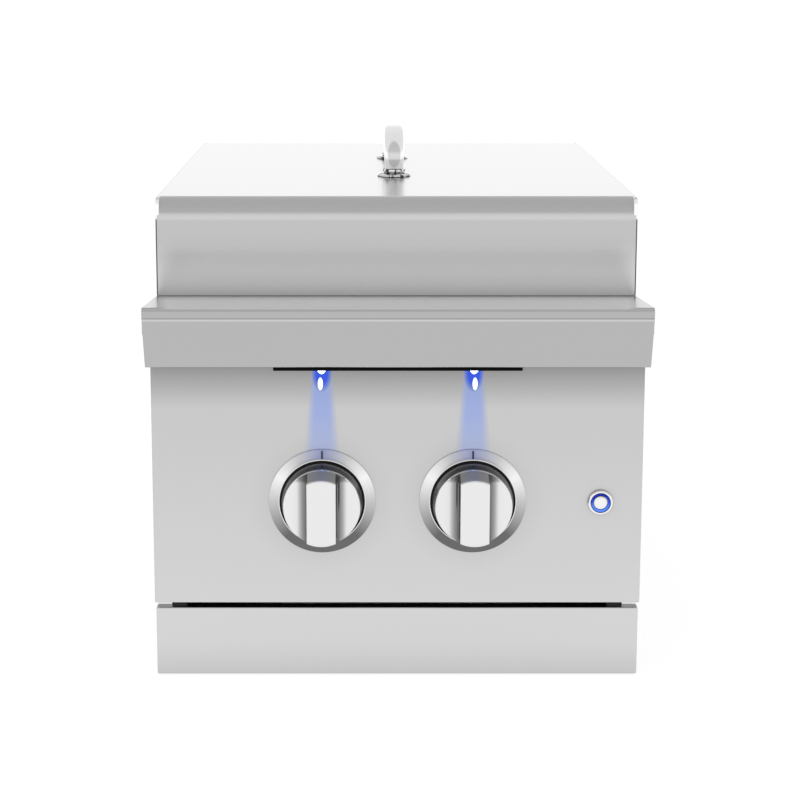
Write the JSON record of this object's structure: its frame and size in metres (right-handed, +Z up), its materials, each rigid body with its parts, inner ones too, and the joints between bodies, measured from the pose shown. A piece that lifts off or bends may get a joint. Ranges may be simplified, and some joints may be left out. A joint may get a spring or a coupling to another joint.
{
  "type": "double side burner",
  "caption": "Drop-in gas side burner for an outdoor kitchen: steel box and deck with a lift-off lid, lit control knobs, grates over ring burners and a pull-out drip tray.",
  "frame": {"origin": "centre of the burner box's underside", "axes": "+Z up, -Y towards the cook who faces the knobs, +X to the cook's right"},
  "size_m": [0.39, 0.613, 0.4126],
  "materials": {
    "brushed": "satin brushed stainless steel",
    "polished": "polished bright metal",
    "plain_steel": "plain sheet steel",
    "knob": "satin plated die-cast zinc",
    "aluminium": "as-cast aluminium",
    "brass": "machined brass",
    "enamel": "gloss black enamel on steel",
    "black_plastic": "matte black plastic",
    "ceramic": "glazed white ceramic",
    "lamp_lens": "clear lamp lens",
    "blue_lens": "blue translucent lens"
  },
  "bodies": {
    "burner": {"burner_box": "plain_steel", "front_box_frame": "plain_steel", "rear_box_frame": "plain_steel", "rear_panel": "plain_steel", "deck": "brushed", "front_fascia": "brushed", "control_panel": "brushed", "burner_pan": "enamel", "heat_shield": "plain_steel", "left_tray_rail": "plain_steel", "right_tray_rail": "plain_steel", "manifold": "plain_steel", "left_valve_body": "aluminium", "right_valve_body": "aluminium", "left_valve_bonnet": "aluminium", "right_valve_bonnet": "aluminium", "left_gas_orifice": "brass", "right_gas_orifice": "brass", "front_mixing_tube": "aluminium", "rear_mixing_tube": "aluminium", "front_air_shutter": "plain_steel", "rear_air_shutter": "plain_steel", "front_burner_base": "aluminium", "rear_burner_base": "aluminium", "front_burner_ring": "brass", "rear_burner_ring": "brass", "front_burner_cap": "enamel", "rear_burner_cap": "enamel", "front_igniter": "ceramic", "rear_igniter": "ceramic", "gas_supply_pipe": "brass", "gas_inlet": "brass", "left_bezel": "brushed", "right_bezel": "brushed", "light_bar": "black_plastic", "left_lamp": "lamp_lens", "right_lamp": "lamp_lens", "switch_housing": "polished", "switch_light_ring": "blue_lens", "switch_nut": "plain_steel", "power_inlet": "black_plastic"},
    "left_plug": {"left_valve_plug": "brass"},
    "right_plug": {"right_valve_plug": "brass"},
    "left_knob": {"left_knob": "knob", "left_valve_stem": "brass"},
    "right_knob": {"right_knob": "knob", "right_valve_stem": "brass"},
    "switch_button": {"switch_button": "polished"},
    "tray": {"tray_front": "brushed", "drip_tray": "plain_steel"},
    "lid": {"lid_shell": "brushed", "left_lid_end": "brushed", "right_lid_end": "brushed", "lid_handle": "polished", "front_handle_rosette": "polished", "rear_handle_rosette": "polished", "front_handle_screw": "plain_steel", "rear_handle_screw": "plain_steel"},
    "front_grate": {"front_grate": "polished"},
    "rear_grate": {"rear_grate": "polished"}
  },
  "joints": [
    {"name": "lid_lift", "type": "slide", "parent": "burner", "child": "lid", "axis": [0, 0, 1], "range_m": [0, 0.2]},
    {"name": "left_valve_turn", "type": "hinge", "parent": "burner", "child": "left_plug", "pos_m": [-0.0585, -0.282, 0.143], "axis": [0, -1, 0], "range_deg": [0, 180]},
    {"name": "right_valve_turn", "type": "hinge", "parent": "burner", "child": "right_plug", "pos_m": [0.0585, -0.282, 0.143], "axis": [0, -1, 0], "range_deg": [0, 180]},
    {"name": "left_knob_push", "type": "slide", "parent": "left_plug", "child": "left_knob", "axis": [0, 1, 0], "range_m": [0, 0.003], "stiffness_N_per_m": 1500},
    {"name": "right_knob_push", "type": "slide", "parent": "right_plug", "child": "right_knob", "axis": [0, 1, 0], "range_m": [0, 0.003], "stiffness_N_per_m": 1500},
    {"name": "light_switch_push", "type": "slide", "parent": "burner", "child": "switch_button", "axis": [0, 1, 0], "range_m": [0, 0.002], "stiffness_N_per_m": 800},
    {"name": "tray_slide", "type": "slide", "parent": "burner", "child": "tray", "axis": [0, -1, 0], "range_m": [0, 0.4]},
    {"name": "front_grate_lift", "type": "slide", "parent": "burner", "child": "front_grate", "axis": [0, 0, 1], "range_m": [0, 0.04]},
    {"name": "rear_grate_lift", "type": "slide", "parent": "burner", "child": "rear_grate", "axis": [0, 0, 1], "range_m": [0, 0.04]}
  ]
}
